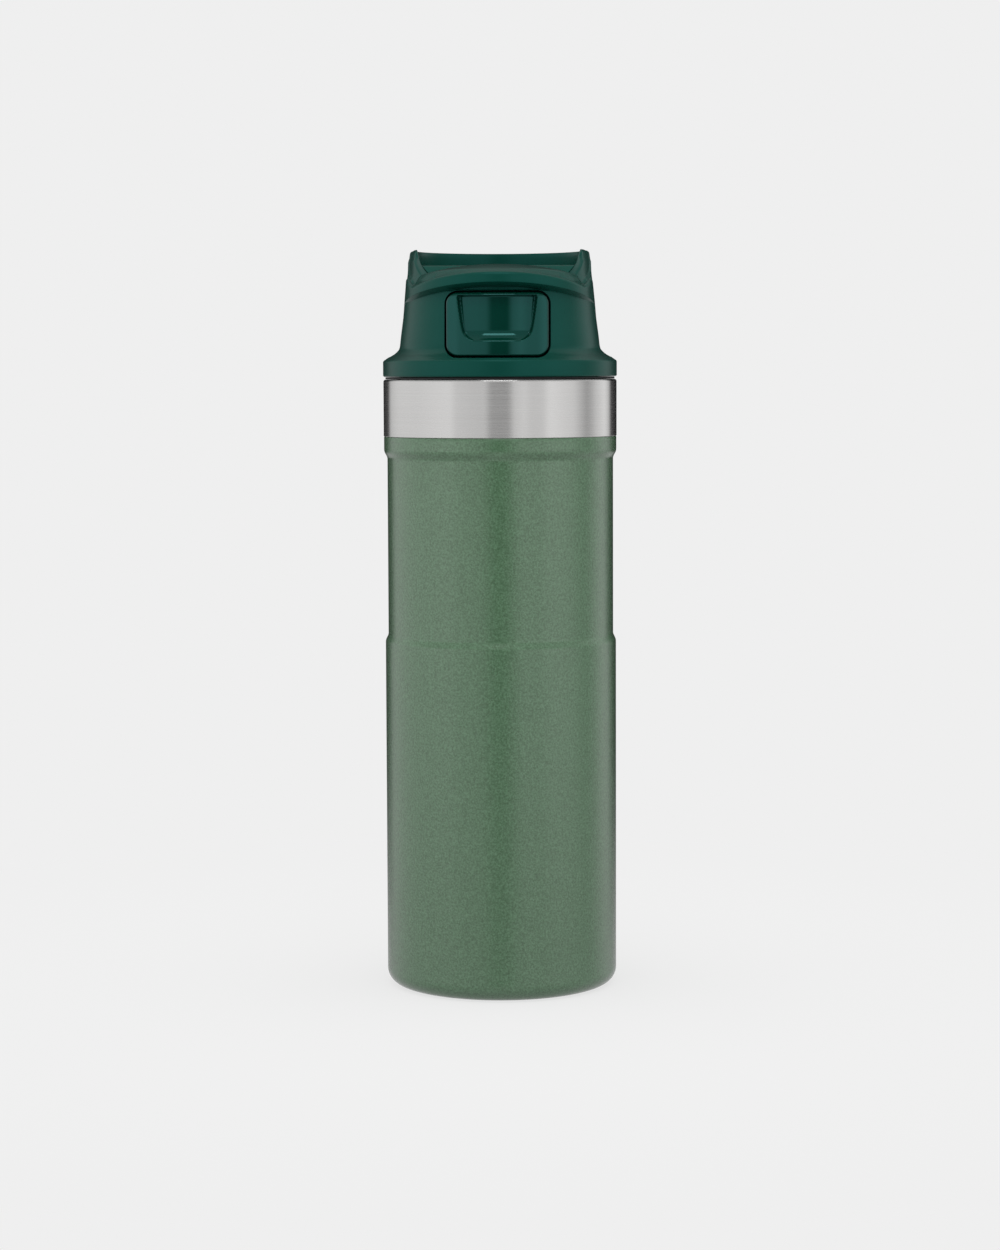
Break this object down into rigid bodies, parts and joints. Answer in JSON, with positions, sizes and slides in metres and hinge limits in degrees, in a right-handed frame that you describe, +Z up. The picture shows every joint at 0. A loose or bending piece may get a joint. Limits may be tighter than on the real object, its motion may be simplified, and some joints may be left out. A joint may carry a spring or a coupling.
{
  "type": "vacuum flask",
  "caption": "Slim double-walled vacuum travel flask with a screw-in lid; a thumb trigger under a visor tilts a valve arm that opens the drinking port.",
  "frame": {"origin": "centre of the foot, on the surface that the flask stands on", "axes": "+Z up the flask's axis, -Y towards the thumb trigger, +Y towards the drinking port"},
  "size_m": [0.074, 0.074, 0.232],
  "materials": {
    "hammered_paint": "hammertone powder coat, satin, fine mottled grain",
    "brushed_steel": "bare stainless steel, brushed round the band",
    "lining_steel": "stainless steel, drawn and electropolished",
    "copper_foil": "thin copper foil",
    "solder_glass": "dark solder glass",
    "lid_plastic": "moulded polypropylene, semi-gloss",
    "trigger_plastic": "polished moulded plastic",
    "valve_plastic": "moulded plastic",
    "silicone": "moulded silicone rubber",
    "spring_steel": "bright stainless wire"
  },
  "bodies": {
    "flask": {"outer_shell": "hammered_paint", "rim_collar": "brushed_steel", "inner_liner": "lining_steel", "copper_foil": "copper_foil", "outer_base": "lining_steel", "base_cover": "hammered_paint", "seal_bead": "solder_glass", "getter_pill": "lining_steel", "getter_clip": "lining_steel"},
    "gasket": {"lid_gasket": "silicone"},
    "lid": {"lid_housing": "lid_plastic", "deck_insert": "lid_plastic", "thread_skirt": "lid_plastic", "valve_bracket": "valve_plastic", "rod_seal": "silicone", "arm_pin": "spring_steel"},
    "trigger": {"trigger_button": "trigger_plastic", "trigger_rod": "valve_plastic", "rod_clip": "spring_steel", "trigger_spring": "spring_steel"},
    "valve": {"valve_arm": "valve_plastic", "port_stopper": "silicone", "vent_stopper": "silicone", "arm_spring": "spring_steel"}
  },
  "joints": [
    {"name": "lid_lift", "type": "slide", "parent": "flask", "child": "gasket", "axis": [0, 0, 1], "range_m": [0, 0.0361]},
    {"name": "lid_turn", "type": "hinge", "parent": "gasket", "child": "lid", "pos_m": [0, 0, 0.1926], "axis": [0, 0, 1], "range_deg": [0, 1080]},
    {"name": "trigger_press", "type": "slide", "parent": "lid", "child": "trigger", "axis": [0, 1, 0], "range_m": [0, 0.0032], "stiffness_N_per_m": 700, "springref_m": -0.006, "deforming": ["trigger_spring"]},
    {"name": "valve_tilt", "type": "hinge", "parent": "lid", "child": "valve", "pos_m": [0, -0.0065, 0.1986], "axis": [-1, 0, 0], "range_deg": [0, 16.2], "stiffness_Nm_per_rad": 0.05, "springref_deg": -45.84, "deforming": ["arm_spring"]}
  ],
  "couplings": [
    {"joint": "lid_lift", "follows": "lid_turn", "m_per_rad": 0.0019099},
    {"joint": "valve_tilt", "follows": "trigger_press", "rad_per_m": 88}
  ]
}
